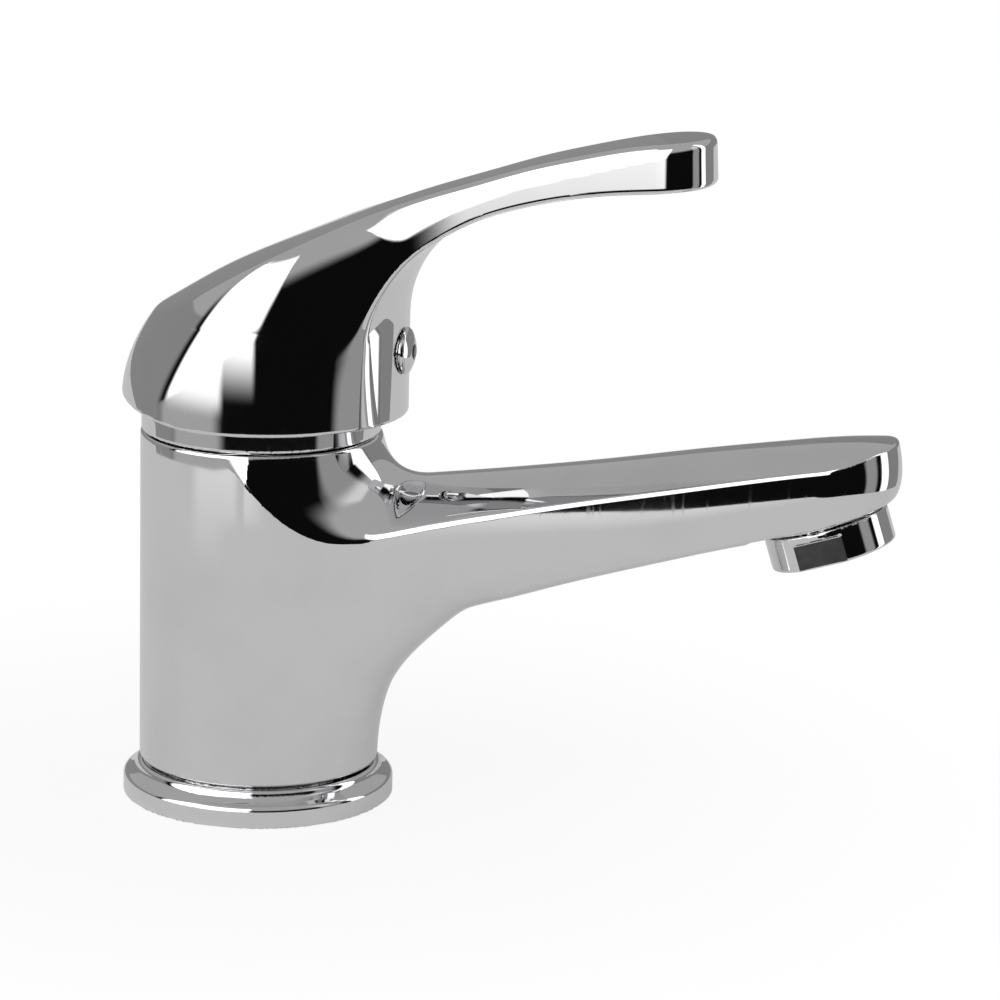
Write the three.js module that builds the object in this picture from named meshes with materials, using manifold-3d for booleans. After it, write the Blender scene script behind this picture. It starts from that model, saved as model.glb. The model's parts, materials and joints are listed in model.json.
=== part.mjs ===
// Single-lever basin mixer: a cast body with a fixed spout, a 40 mm ceramic cartridge,
// a hollow lever handle and a tilted aerator. Millimetres, +Z up.
// The origin is on the body's axis at deck level, and +X points along the spout.

import * as THREE from 'three';
import { mergeVertices } from 'three/addons/utils/BufferGeometryUtils.js';
import { ParametricGeometry } from 'three/addons/geometries/ParametricGeometry.js';
import Module from 'manifold-3d';

const wasm = await Module();
wasm.setup();

// ---- driving dimensions -------------------------------------------------------------------

const GAP = 0.3;                 // clearance kept between pieces that touch
const RUNNING_GAP = 0.35;        // clearance round pieces that turn or slide

// cartridge
const CARTRIDGE_RADIUS = 20;
const CARTRIDGE_WALL = 2.3;
const CARTRIDGE_BASE_HEIGHT = 5;
const PORT_SEAL_SECTION = 1.6;
const PORT_SEAL_LAND = 0.5;      // from a port's edge to its seal
const FIXED_DISC_HEIGHT = 3.5;
const FIXED_DISC_MARGIN = 1.3;   // from the housing's bore
const MOVING_DISC_MARGIN = 2.9;  // from the fixed disc's edge
const MOVING_DISC_HEIGHT = 3;
const CARRIER_HEIGHT = 3.8;
const ROTOR_FLANGE_HEIGHT = 3.2;
const ROTOR_HEIGHT = 16;         // above its flange
const NECK_STEP = 3;             // from the housing in to its neck
const NECK_WALL = 3.65;
const NECK_HEIGHT = 16;          // above the housing's shoulder
const SHOULDER_THICKNESS = 2;
const PIVOT_RISE = 12.4;         // pivot pin above the middle of the stem's ball
const PIN_RADIUS = 1.5;
const STEM_X = 7;
const STEM_Y = 8;
const STEM_BALL_RADIUS = 3.4;
const STEM_RISE = 33;            // above the pivot pin
const LEVER_TILT = 24;           // degrees from closed to full flow

// body
const BODY_TOP = 74.2;
const BODY_EDGE_ROUND = 1.1;
const CHAMBER_DEPTH = 30.2;
const CHAMBER_WALL = 3.5;
const THREAD_WALL = 2.6;
const THREAD_DEPTH = 9.5;

// base
const FLANGE_OVERHANG = 3.2;
const FLANGE_WALL_HEIGHT = 4.2;
const FLANGE_HEIGHT = 6.9;
const SPIGOT_INSET = 3.3;
const GASKET_INSET = 1.4;
const GASKET_WIDTH = 3;
const GASKET_THICKNESS = 1.5;
const BASE_RING_SECTION = 1.5;
const BASE_RING_HEIGHT = 3.95;

// water connections underneath
const INLET_X = 5;
const INLET_Y = 9;
const INLET_BORE_RADIUS = 3.2;
const INLET_THREAD_RADIUS = 4.5;
const INLET_THREAD_DEPTH = 15;
const STUD_X = -11;
const STUD_HOLE_RADIUS = 3.4;
const STUD_HOLE_DEPTH = 16;
const OUTLET_PORT_X = -7.5;
const WATERWAY_RADIUS = 4.2;

// spout
const SPOUT_REACH = 113;         // to the middle of the outlet face
const OUTLET_HEIGHT = 65.5;
const OUTLET_TILT = 18;          // degrees, the jet leans away from the body
const SPOUT_SIDE_MARGIN = 1.8;   // from the aerator's side out to the spout's
const SPOUT_TIP_MARGIN = 2.1;
const SPOUT_TIP_THICKNESS = 16.1;
const SPOUT_SADDLE_DROP = 6.6;   // below the body's top
const SPOUT_KEEL_START = 12;     // where the underside leaves the body

// aerator
const AERATOR_RADIUS = 12.2;
const AERATOR_LENGTH = 7;
const AERATOR_THREAD_LENGTH = 5.5;
const AERATOR_THREAD_STEP = 1.5;
const AERATOR_WALL = 1.5;
const AERATOR_LIP = 0.9;
const AERATOR_LIP_HEIGHT = 2.2;
const AERATOR_WASHER = 1.5;
const AERATOR_FLAT_DEPTH = 1;

// nut and cover
const COVER_INSET = 0.2;
const COVER_WALL = 1.3;
const COVER_SIDE_HEIGHT = 5.1;
const COVER_HEIGHT = 9;
const COVER_RING_SECTION = 1.6;
const COVER_RING_RISE = 2.6;
const NUT_HEAD_HEIGHT = 5.2;
const NUT_HEAD_MARGIN = 1.7;     // inside the cover's wall

// handle
const HANDLE_CLEARANCE = 1.9;    // round the cover
const HANDLE_WALL = 2.7;
const HANDLE_CENTRE_X = 0.8;
const HANDLE_BORE_X = 0.4;
const HANDLE_ROOF = 3.6;
const HANDLE_RIM_RISE = 4.6;     // above the body's top
const HANDLE_RIM_LIFT = 3.2;     // the rim rises towards the back
const HANDLE_HEIGHT = 30.8;      // from the rim to the dome's crown
const DOME_SLOPE = 0.45;
const DOME_ROUND_WIDTH = 16;
const DOME_ROUND_HEIGHT = 12;
const LEVER_REACH = 89.6;
const LEVER_RISE = 27.6;         // from above the body's axis to the tip
const LEVER_HALF_WIDTH = 10.2;
const LEVER_TIP_ROUND = 12;
const LEVER_TIP_THICKNESS = 9.4;
const LEVER_ROOT_THICKNESS = 25.8;
const BOSS_WALL = 4.2;
const BOSS_FRONT_WALL = 8.2;
const BOSS_RISE = 17;            // boss bottom above the pivot pin

// screw and index button
const BUTTON_RISE = 13.2;        // above the rim
const SCREW_RADIUS = 2.5;
const SCREW_LENGTH = 7.5;
const BUTTON_RADIUS = 4.75;
const BUTTON_DOME = 1.9;
const BUTTON_SHANK_RADIUS = 3.9;
const BUTTON_SHANK_LENGTH = 3.6;
const DOT_RADIUS = 1.2;
const DOT_DEPTH = 0.9;

// facets
const COARSE = 20;
const FINE = 36;
const RING_SIDES = 6;

// ---- levels and radii that follow from them -----------------------------------------------

const CHAMBER_RADIUS = CARTRIDGE_RADIUS + GAP;
const BODY_RADIUS = CHAMBER_RADIUS + CHAMBER_WALL;
const THREAD_RADIUS = BODY_RADIUS - THREAD_WALL;
const CHAMBER_FLOOR = BODY_TOP - CHAMBER_DEPTH;
const BODY_BOTTOM = FLANGE_HEIGHT + GAP;
const FLANGE_RADIUS = BODY_RADIUS + FLANGE_OVERHANG;
const SPIGOT_RADIUS = BODY_RADIUS - SPIGOT_INSET;
const FLANGE_BORE = SPIGOT_RADIUS + GAP;
const GASKET_INNER = FLANGE_BORE + GASKET_INSET;

const HOUSING_BORE = CARTRIDGE_RADIUS - CARTRIDGE_WALL;
const FIXED_DISC_RADIUS = HOUSING_BORE - FIXED_DISC_MARGIN;
const MOVING_DISC_RADIUS = FIXED_DISC_RADIUS - MOVING_DISC_MARGIN;
const NECK_RADIUS = CARTRIDGE_RADIUS - NECK_STEP;
const ROTOR_RADIUS = NECK_RADIUS - NECK_WALL - RUNNING_GAP;
const BASE_BOTTOM = CHAMBER_FLOOR + GAP;
const FIXED_DISC_BOTTOM = BASE_BOTTOM + CARTRIDGE_BASE_HEIGHT + GAP;
const MOVING_DISC_BOTTOM = FIXED_DISC_BOTTOM + FIXED_DISC_HEIGHT + GAP;
const CARRIER_BOTTOM = MOVING_DISC_BOTTOM + MOVING_DISC_HEIGHT + GAP;
const ROTOR_BOTTOM = CARRIER_BOTTOM + CARRIER_HEIGHT + GAP;
const SHOULDER_UNDER = ROTOR_BOTTOM + ROTOR_FLANGE_HEIGHT + GAP;
const SHOULDER_TOP = SHOULDER_UNDER + SHOULDER_THICKNESS;
const NECK_TOP = SHOULDER_TOP + NECK_HEIGHT;
const ROTOR_TOP = ROTOR_BOTTOM + ROTOR_FLANGE_HEIGHT + ROTOR_HEIGHT;
const BALL_HEIGHT = CARRIER_BOTTOM + CARRIER_HEIGHT / 2;
const PIVOT_HEIGHT = BALL_HEIGHT + PIVOT_RISE;
const DISC_TRAVEL = PIVOT_RISE * THREE.MathUtils.degToRad(LEVER_TILT);
const DISC_REST_X = -DISC_TRAVEL / 2;
const NUT_BOTTOM = SHOULDER_TOP + GAP;
const NUT_RADIUS = THREAD_RADIUS - GAP;

const SPOUT_HALF_WIDTH = AERATOR_RADIUS + SPOUT_SIDE_MARGIN;
const SPOUT_TIP = SPOUT_REACH + AERATOR_RADIUS + SPOUT_TIP_MARGIN;
const SPOUT_TIP_HEIGHT = OUTLET_HEIGHT + SPOUT_TIP_THICKNESS;
const SPOUT_SADDLE_HEIGHT = BODY_TOP - SPOUT_SADDLE_DROP;
const TILT = THREE.MathUtils.degToRad(OUTLET_TILT);

const COVER_RADIUS = BODY_RADIUS - COVER_INSET;
const COVER_BORE = COVER_RADIUS - COVER_WALL;
const COVER_RING_HEIGHT = BODY_TOP + COVER_RING_RISE;
const NUT_HEAD_RADIUS = COVER_BORE - NUT_HEAD_MARGIN;

const HANDLE_BORE_RADIUS = COVER_RADIUS + HANDLE_CLEARANCE;
const HANDLE_RADIUS = HANDLE_BORE_RADIUS + HANDLE_WALL;
const HANDLE_BACK = HANDLE_CENTRE_X - HANDLE_RADIUS;
const HANDLE_FRONT = HANDLE_CENTRE_X + HANDLE_RADIUS;
const HANDLE_RIM_HEIGHT = BODY_TOP + HANDLE_RIM_RISE;
const DOME_CROWN = HANDLE_RIM_HEIGHT + HANDLE_HEIGHT;
const HANDLE_CAVITY_TOP = PIVOT_HEIGHT + STEM_RISE;
const LEVER_ROOT_TOP = DOME_CROWN + 0.6;
const LEVER_TIP_TOP = LEVER_ROOT_TOP + LEVER_RISE;
const LEVER_TIP_UNDER = LEVER_TIP_TOP - LEVER_TIP_THICKNESS;
const LEVER_ROOT_UNDER = LEVER_TIP_TOP - LEVER_ROOT_THICKNESS;
const BUTTON_HEIGHT = HANDLE_RIM_HEIGHT + BUTTON_RISE;

// ---- making solids ------------------------------------------------------------------------

/** Welds a closed geometry's vertices and makes a solid of it. */
function solid(geometry) {
  const bare = geometry.clone();
  bare.deleteAttribute('normal');
  bare.deleteAttribute('uv');
  const welded = mergeVertices(bare, 1e-4);
  const index = welded.index.array;
  const triangles = [];
  for (let i = 0; i < index.length; i += 3) {
    const [a, b, c] = [index[i], index[i + 1], index[i + 2]];
    if (a !== b && b !== c && c !== a) triangles.push(a, b, c);
  }
  return new wasm.Manifold(new wasm.Mesh({
    numProp: 3,
    vertProperties: new Float32Array(welded.attributes.position.array),
    triVerts: new Uint32Array(triangles),
  }));
}

/** Names a solid's mesh and gives it its finish. */
function piece(name, shape, finish) {
  const faces = shape.getMesh();
  const geometry = new THREE.BufferGeometry();
  geometry.setAttribute('position', new THREE.BufferAttribute(faces.vertProperties, 3));
  geometry.setIndex(new THREE.BufferAttribute(faces.triVerts, 1));
  geometry.computeVertexNormals();
  const mesh = new THREE.Mesh(geometry, new THREE.MeshStandardMaterial(finish));
  mesh.name = name;
  return mesh;
}

/** Turns an anticlockwise outline of [radius, height] pairs round the Z axis. */
function turned(outline, segments = FINE) {
  const points = outline.map(([r, z]) => new THREE.Vector2(r, z));
  const onAxis = outline[0][0] === 0 && outline.at(-1)[0] === 0;
  if (!onAxis) points.push(points[0].clone());
  return solid(new THREE.LatheGeometry(points, segments).rotateX(Math.PI / 2));
}

/** A ring with a rectangular section. */
function ring(inner, outer, bottom, top, segments = FINE) {
  return turned([[inner, bottom], [outer, bottom], [outer, top], [inner, top]], segments);
}

/** An upright round bar with its axis through [x, y]. */
function bar(radius, bottom, top, x = 0, y = 0, segments = COARSE) {
  return solid(new THREE.CylinderGeometry(radius, radius, top - bottom, segments)
    .rotateX(Math.PI / 2)
    .translate(x, y, (bottom + top) / 2));
}

/** A round bar lying along X, centred on the XZ plane. */
function barAlongX(radius, from, to, height, segments = COARSE) {
  return solid(new THREE.CylinderGeometry(radius, radius, to - from, segments)
    .rotateZ(-Math.PI / 2)
    .translate((from + to) / 2, 0, height));
}

/** A box between two corners. */
function block([x0, y0, z0], [x1, y1, z1]) {
  return solid(new THREE.BoxGeometry(x1 - x0, y1 - y0, z1 - z0)
    .translate((x0 + x1) / 2, (y0 + y1) / 2, (z0 + z1) / 2));
}

/** A round-section ring, such as an O-ring. */
function roundRing(radius, section, height, segments = FINE) {
  return solid(new THREE.TorusGeometry(radius, section / 2, RING_SIDES, segments)
    .translate(0, 0, height));
}

/** A side outline of [x, z] pairs made into a slab across Y. */
function slab(outline, halfWidth) {
  const shape = new THREE.Shape(outline.map(([x, z]) => new THREE.Vector2(x, z)));
  return solid(new THREE.ExtrudeGeometry(shape, { depth: 2 * halfWidth, bevelEnabled: false })
    .rotateX(Math.PI / 2)
    .translate(0, halfWidth, 0));
}

/** A plan outline of [x, y] pairs made into an upright column. */
function column(outline, bottom, top) {
  const shape = new THREE.Shape(outline.map(([x, y]) => new THREE.Vector2(x, y)));
  return solid(new THREE.ExtrudeGeometry(shape, { depth: top - bottom, bevelEnabled: false })
    .translate(0, 0, bottom));
}

/** Evenly spread points of a smooth curve through [a, b] pairs. */
function smooth(pairs, count) {
  const curve = new THREE.SplineCurve(pairs.map(([a, b]) => new THREE.Vector2(a, b)));
  return curve.getPoints(count).map((p) => [p.x, p.y]);
}

/** Height at x of a smooth line through [x, z] pairs, straight on past its ends. */
function heightAt(line, x) {
  let i = 1;
  while (i < line.length - 1 && line[i][0] < x) i += 1;
  const [x0, z0] = line[i - 1];
  const [x1, z1] = line[i];
  return z0 + (z1 - z0) * (x - x0) / (x1 - x0);
}

// ---- finishes -----------------------------------------------------------------------------

const CHROME = { color: 0xd8dadc, roughness: 0.06, metalness: 1 };
const BRASS = { color: 0xb8964c, roughness: 0.35, metalness: 1 };
const STEEL = { color: 0x9c9ea1, roughness: 0.3, metalness: 1 };
const ACETAL = { color: 0xe6e4dc, roughness: 0.5, metalness: 0 };
const CERAMIC = { color: 0xf2f0ea, roughness: 0.25, metalness: 0 };
const RUBBER = { color: 0x1d1d1e, roughness: 0.85, metalness: 0 };
const DARK_ENAMEL = { color: 0x1a1b20, roughness: 0.25, metalness: 0 };

// ---- base ---------------------------------------------------------------------------------

function baseFlange() {
  const recessInner = GASKET_INNER - GAP;
  const recessOuter = GASKET_INNER + GASKET_WIDTH + GAP;
  const recessTop = GASKET_THICKNESS + GAP;
  const grooveHalf = BASE_RING_SECTION / 2 + GAP;
  const grooveRadius = FLANGE_BORE + BASE_RING_SECTION + GAP;
  const rise = FLANGE_HEIGHT - FLANGE_WALL_HEIGHT;
  return turned([
    [FLANGE_BORE, 0], [recessInner, 0], [recessInner, recessTop],
    [recessOuter, recessTop], [recessOuter, 0], [FLANGE_RADIUS, 0],
    [FLANGE_RADIUS, FLANGE_WALL_HEIGHT - 0.5], [FLANGE_RADIUS - 0.5, FLANGE_WALL_HEIGHT],
    [FLANGE_RADIUS - 2.2, FLANGE_WALL_HEIGHT + 0.4 * rise],
    [FLANGE_RADIUS - 3.4, FLANGE_WALL_HEIGHT + 0.85 * rise],
    [FLANGE_RADIUS - 4, FLANGE_HEIGHT], [FLANGE_BORE, FLANGE_HEIGHT],
    [FLANGE_BORE, BASE_RING_HEIGHT + grooveHalf],
    [grooveRadius, BASE_RING_HEIGHT + grooveHalf],
    [grooveRadius, BASE_RING_HEIGHT - grooveHalf],
    [FLANGE_BORE, BASE_RING_HEIGHT - grooveHalf],
  ]);
}

function baseGasket() {
  return ring(GASKET_INNER, GASKET_INNER + GASKET_WIDTH, 0, GASKET_THICKNESS);
}

function baseRing() {
  return roundRing(FLANGE_BORE + BASE_RING_SECTION / 2, BASE_RING_SECTION, BASE_RING_HEIGHT);
}

// ---- body and spout -----------------------------------------------------------------------

const OUTLET_BACK_X = SPOUT_REACH - AERATOR_RADIUS * Math.cos(TILT);
const OUTLET_BACK_Z = OUTLET_HEIGHT - AERATOR_RADIUS * Math.sin(TILT);

/** Lines along the spout: its crown, its side edges and its keel. */
function spoutLines() {
  const root = BODY_RADIUS;
  const along = (t) => THREE.MathUtils.lerp(root, SPOUT_TIP, t);
  const crownRise = SPOUT_TIP_HEIGHT - SPOUT_SADDLE_HEIGHT;
  const crown = smooth([
    [root - 9, BODY_TOP - 1], [root - 1, BODY_TOP - 2.5], [root + 4, SPOUT_SADDLE_HEIGHT + 1.4],
    [root + 10, SPOUT_SADDLE_HEIGHT + 0.2], [along(0.31), SPOUT_SADDLE_HEIGHT + 0.24 * crownRise],
    [along(0.6), SPOUT_SADDLE_HEIGHT + 0.64 * crownRise],
    [along(0.82), SPOUT_SADDLE_HEIGHT + 0.93 * crownRise], [SPOUT_TIP, SPOUT_TIP_HEIGHT],
  ], 60);
  const edgeRoot = SPOUT_SADDLE_HEIGHT - 9.4;
  const edge = smooth([
    [root - 9, edgeRoot - 1], [root + 2, edgeRoot + 0.3],
    [along(0.28), edgeRoot + 0.29 * (SPOUT_TIP_HEIGHT - edgeRoot)],
    [along(0.57), edgeRoot + 0.55 * (SPOUT_TIP_HEIGHT - edgeRoot)],
    [along(0.81), edgeRoot + 0.78 * (SPOUT_TIP_HEIGHT - edgeRoot)],
    [SPOUT_TIP, SPOUT_TIP_HEIGHT - 2.2],
  ], 60);
  const keelRise = OUTLET_BACK_Z - SPOUT_KEEL_START;
  const straight = (t) => THREE.MathUtils.lerp(root + 18, OUTLET_BACK_X, t);
  const keel = smooth([
    [root - 9, SPOUT_KEEL_START - 3], [root - 1, SPOUT_KEEL_START],
    [root + 1.8, SPOUT_KEEL_START + 0.2 * keelRise],
    [root + 4.6, SPOUT_KEEL_START + 0.35 * keelRise],
    [root + 9, SPOUT_KEEL_START + 0.46 * keelRise],
    [root + 18, SPOUT_KEEL_START + 0.585 * keelRise],
    [straight(0.32), SPOUT_KEEL_START + 0.75 * keelRise],
    [straight(0.7), SPOUT_KEEL_START + 0.9 * keelRise], [OUTLET_BACK_X, OUTLET_BACK_Z],
    [SPOUT_TIP, OUTLET_HEIGHT + (SPOUT_TIP - SPOUT_REACH) * Math.tan(TILT)],
  ], 80);
  return { crown, edge, keel };
}

/** The spout as a loft of upright sections, from inside the body to its rounded end. */
function spoutLoft() {
  const { crown, edge, keel } = spoutLines();
  const start = BODY_RADIUS - 9;
  const roundFrom = SPOUT_TIP - SPOUT_HALF_WIDTH;
  const stations = 26;
  const section = (u, v, target) => {
    const step = Math.round(v * stations);
    const ends = step === 0 ? 0 : 1;
    const x = start + (SPOUT_TIP - start) * Math.sin(v * Math.PI / 2) ** 0.9;
    const past = Math.max(0, (x - roundFrom) / SPOUT_HALF_WIDTH);
    const half = SPOUT_HALF_WIDTH * Math.sqrt(Math.max(0, 1 - past * past)) * ends;
    const angle = 2 * Math.PI * u;
    const side = Math.cos(angle);
    const up = Math.sin(angle);
    const edgeZ = heightAt(edge, x);
    const y = half * Math.sign(side) * Math.abs(side) ** (up < 0 ? 0.75 : 1);
    const width = half > 0 ? y / half : 0;
    const closing = Math.min(1, half / SPOUT_HALF_WIDTH * 3) * ends;
    const top = (heightAt(crown, x) - edgeZ) * (1 - width * width);
    const depth = (edgeZ - heightAt(keel, x)) * Math.abs(up) ** 0.75;
    const z = edgeZ + (up < 0 ? -depth : top) * (x > roundFrom && half === 0 ? 0 : closing);
    target.set(x, y, z);
  };
  return solid(new ParametricGeometry(section, 28, stations));
}

/** Everything below and behind the aerator's seat face. */
function outletFaceCut() {
  return solid(new THREE.BoxGeometry(4 * AERATOR_RADIUS, 4 * AERATOR_RADIUS, 2 * AERATOR_RADIUS)
    .translate(AERATOR_RADIUS * 0.9, 0, -AERATOR_RADIUS)
    .rotateY(-TILT)
    .translate(SPOUT_REACH, 0, OUTLET_HEIGHT));
}

function aeratorSocket() {
  const radius = AERATOR_RADIUS - AERATOR_THREAD_STEP + GAP;
  const depth = AERATOR_THREAD_LENGTH + GAP + AERATOR_WASHER + GAP;
  return solid(new THREE.CylinderGeometry(radius, radius, depth + 2, COARSE)
    .rotateX(Math.PI / 2)
    .translate(0, 0, depth / 2 - 1)
    .rotateY(-TILT)
    .translate(SPOUT_REACH, 0, OUTLET_HEIGHT));
}

/** The mixed-water passage, from the chamber floor to the aerator's socket. */
function waterway() {
  const socketX = SPOUT_REACH - AERATOR_THREAD_LENGTH * Math.sin(TILT);
  const socketZ = OUTLET_HEIGHT + AERATOR_THREAD_LENGTH * Math.cos(TILT);
  const path = new THREE.CatmullRomCurve3([
    [OUTLET_PORT_X, CHAMBER_FLOOR + 0.5], [OUTLET_PORT_X, CHAMBER_FLOOR - 7],
    [OUTLET_PORT_X + 6, CHAMBER_FLOOR - 13.5], [BODY_RADIUS - 6, CHAMBER_FLOOR - 8.5],
    [BODY_RADIUS + 9, CHAMBER_FLOOR + 0.5],
    [THREE.MathUtils.lerp(BODY_RADIUS, socketX, 0.45), THREE.MathUtils.lerp(CHAMBER_FLOOR, socketZ, 0.58)],
    [socketX, socketZ],
  ].map(([x, z]) => new THREE.Vector3(x, 0, z)));
  const round = new THREE.Shape();
  round.absarc(0, 0, WATERWAY_RADIUS, 0, 2 * Math.PI);
  return solid(new THREE.ExtrudeGeometry(round, {
    steps: 28, curveSegments: 6, extrudePath: path,
  }));
}

function body() {
  const outer = turned([
    [0, 0], [SPIGOT_RADIUS, 0], [SPIGOT_RADIUS, BODY_BOTTOM],
    [BODY_RADIUS - BODY_EDGE_ROUND, BODY_BOTTOM],
    [BODY_RADIUS - 0.3, BODY_BOTTOM + 0.6 * BODY_EDGE_ROUND],
    [BODY_RADIUS, BODY_BOTTOM + 1.6 * BODY_EDGE_ROUND],
    [BODY_RADIUS, BODY_TOP - 0.5], [BODY_RADIUS - 0.5, BODY_TOP], [0, BODY_TOP],
  ], 60);
  const casting = outer.add(spoutLoft().subtract(outletFaceCut()));
  const cuts = [
    bar(CHAMBER_RADIUS, CHAMBER_FLOOR, BODY_TOP + 1, 0, 0, FINE),
    bar(THREAD_RADIUS, BODY_TOP - THREAD_DEPTH, BODY_TOP + 1, 0, 0, FINE),
    aeratorSocket(),
    waterway(),
    bar(STUD_HOLE_RADIUS, -1, STUD_HOLE_DEPTH, STUD_X),
  ];
  for (const side of [-1, 1]) {
    cuts.push(bar(INLET_BORE_RADIUS, 1, CHAMBER_FLOOR + 1, INLET_X, side * INLET_Y, 24));
    cuts.push(bar(INLET_THREAD_RADIUS, -1, INLET_THREAD_DEPTH, INLET_X, side * INLET_Y));
  }
  return cuts.reduce((shape, cut) => shape.subtract(cut), casting);
}

// ---- aerator, in its own frame: +Z up the outlet, 0 at the spout's face --------------------

const AERATOR_BORE = AERATOR_RADIUS - AERATOR_THREAD_STEP - AERATOR_WALL;
const AERATOR_SEAT = AERATOR_LIP_HEIGHT - AERATOR_LENGTH;

function aeratorShell() {
  const thread = AERATOR_RADIUS - AERATOR_THREAD_STEP;
  const shell = turned([
    [AERATOR_BORE - AERATOR_LIP, -AERATOR_LENGTH], [AERATOR_RADIUS - 0.6, -AERATOR_LENGTH],
    [AERATOR_RADIUS, -AERATOR_LENGTH + 0.6], [AERATOR_RADIUS, -GAP], [thread, -GAP],
    [thread, AERATOR_THREAD_LENGTH], [AERATOR_BORE, AERATOR_THREAD_LENGTH],
    [AERATOR_BORE, AERATOR_SEAT], [AERATOR_BORE - AERATOR_LIP, AERATOR_SEAT],
  ], 48);
  const flatZ = [-AERATOR_LENGTH + 1.4, -1.5];
  const cuts = [-1, 1].map((side) => {
    const near = side * (AERATOR_RADIUS - AERATOR_FLAT_DEPTH);
    const far = side * (AERATOR_RADIUS + 1);
    return block([-9, Math.min(near, far), flatZ[0]], [9, Math.max(near, far), flatZ[1]]);
  });
  return cuts.reduce((shape, cut) => shape.subtract(cut), shell);
}

/** A round plate with one middle hole and a circle of holes round it. */
function perforated(radius, bottom, top, hole, circle, count) {
  let plate = bar(radius, bottom, top, 0, 0, FINE);
  const holes = [[0, 0]];
  for (let i = 0; i < count; i += 1) {
    const angle = 2 * Math.PI * i / count;
    holes.push([circle * Math.cos(angle), circle * Math.sin(angle)]);
  }
  for (const [x, y] of holes) plate = plate.subtract(bar(hole, bottom - 1, top + 1, x, y, 8));
  return plate;
}

function aeratorCore() {
  return perforated(AERATOR_BORE - GAP, AERATOR_SEAT + GAP, AERATOR_THREAD_LENGTH - 1.4, 1.4, 5.2, 8);
}

function aeratorScreen() {
  const bottom = AERATOR_THREAD_LENGTH - 1.4 + GAP;
  return perforated(AERATOR_BORE - GAP, bottom, bottom + 0.8, 1.1, 4.6, 6);
}

function aeratorWasher() {
  const bottom = AERATOR_THREAD_LENGTH + GAP;
  return ring(AERATOR_BORE - 0.6, AERATOR_RADIUS - AERATOR_THREAD_STEP - 0.1,
    bottom, bottom + AERATOR_WASHER, 40);
}

// ---- cartridge ----------------------------------------------------------------------------

const PORTS = {
  cold: [INLET_X, INLET_Y, INLET_BORE_RADIUS],
  hot: [INLET_X, -INLET_Y, INLET_BORE_RADIUS],
  outlet: [OUTLET_PORT_X, 0, WATERWAY_RADIUS],
};

function cartridgeBase() {
  const top = BASE_BOTTOM + CARTRIDGE_BASE_HEIGHT;
  let shape = bar(CARTRIDGE_RADIUS, BASE_BOTTOM, top, 0, 0, FINE);
  for (const [x, y, r] of Object.values(PORTS)) {
    const recess = r + PORT_SEAL_LAND + PORT_SEAL_SECTION + GAP;
    shape = shape
      .subtract(bar(r, BASE_BOTTOM - 1, top + 1, x, y, 24))
      .subtract(bar(recess, BASE_BOTTOM - 1, BASE_BOTTOM + PORT_SEAL_SECTION, x, y));
  }
  return shape;
}

function portSeal([x, y, r]) {
  const section = PORT_SEAL_SECTION - GAP;
  return roundRing(r + PORT_SEAL_LAND + PORT_SEAL_SECTION / 2, section, 0, COARSE)
    .translate([x, y, CHAMBER_FLOOR + GAP + section / 2]);
}

function fixedDisc() {
  const top = FIXED_DISC_BOTTOM + FIXED_DISC_HEIGHT;
  let shape = bar(FIXED_DISC_RADIUS, FIXED_DISC_BOTTOM, top, 0, 0, 48);
  for (const [x, y, r] of Object.values(PORTS)) {
    shape = shape.subtract(bar(r - 0.2, FIXED_DISC_BOTTOM - 1, top + 1, x, y, 24));
  }
  return shape;
}

/** The moving disc has a shallow mixing pocket in its lapped underside. */
function movingDisc() {
  const top = MOVING_DISC_BOTTOM + MOVING_DISC_HEIGHT;
  const plate = bar(MOVING_DISC_RADIUS, MOVING_DISC_BOTTOM, top, DISC_REST_X, 0, 48);
  const pocket = solid(new THREE.CylinderGeometry(9, 9, 2 * MOVING_DISC_HEIGHT / 3, COARSE)
    .scale(0.62, 1, 1)
    .rotateX(Math.PI / 2)
    .translate(DISC_REST_X - 3.5, 0, MOVING_DISC_BOTTOM));
  return plate.subtract(pocket);
}

function discCarrier() {
  const top = CARRIER_BOTTOM + CARRIER_HEIGHT;
  return bar(MOVING_DISC_RADIUS, CARRIER_BOTTOM, top, DISC_REST_X, 0, 48)
    .subtract(bar(STEM_BALL_RADIUS + RUNNING_GAP, CARRIER_BOTTOM - 1, top + 1));
}

function cartridgeHousing() {
  const bottom = BASE_BOTTOM + CARTRIDGE_BASE_HEIGHT + GAP;
  const neckBore = ROTOR_RADIUS + RUNNING_GAP;
  return turned([
    [HOUSING_BORE, bottom], [CARTRIDGE_RADIUS, bottom], [CARTRIDGE_RADIUS, SHOULDER_TOP],
    [NECK_RADIUS, SHOULDER_TOP], [NECK_RADIUS, NECK_TOP], [neckBore, NECK_TOP],
    [neckBore, SHOULDER_UNDER], [HOUSING_BORE, SHOULDER_UNDER],
  ]);
}

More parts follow.
